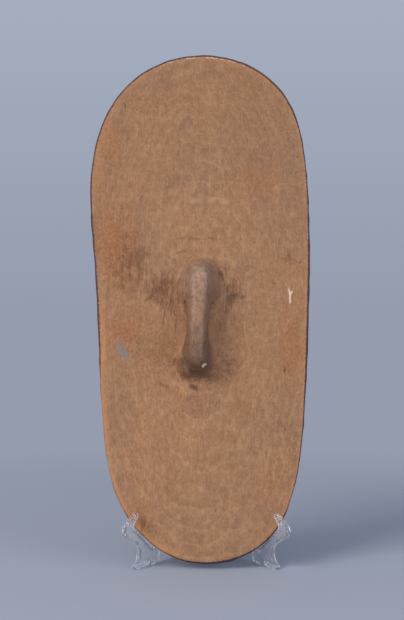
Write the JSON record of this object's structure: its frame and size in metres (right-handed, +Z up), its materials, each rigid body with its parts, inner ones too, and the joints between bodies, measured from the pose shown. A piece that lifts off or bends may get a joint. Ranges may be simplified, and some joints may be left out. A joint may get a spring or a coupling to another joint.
{
  "type": "dance shield",
  "caption": "Long wooden dance shield with round ends and a hand grip carved on its hollowed back, leaning in a small clear plastic easel.",
  "frame": {"origin": "on the floor, under the middle of the box round the shield and its stand", "axes": "+Z up; the grip side faces -Y and the shield leans back towards +Y; +X to the right as seen from the grip side"},
  "size_m": [0.2678, 0.2002, 0.6176],
  "materials": {
    "carved_wood": "dry hand-worn wood, dark at the grip",
    "clear_plastic": "clear moulded polystyrene"
  },
  "bodies": {
    "root": {"shield": "carved_wood", "stand_leg_left": "clear_plastic", "stand_leg_right": "clear_plastic"}
  },
  "joints": []
}
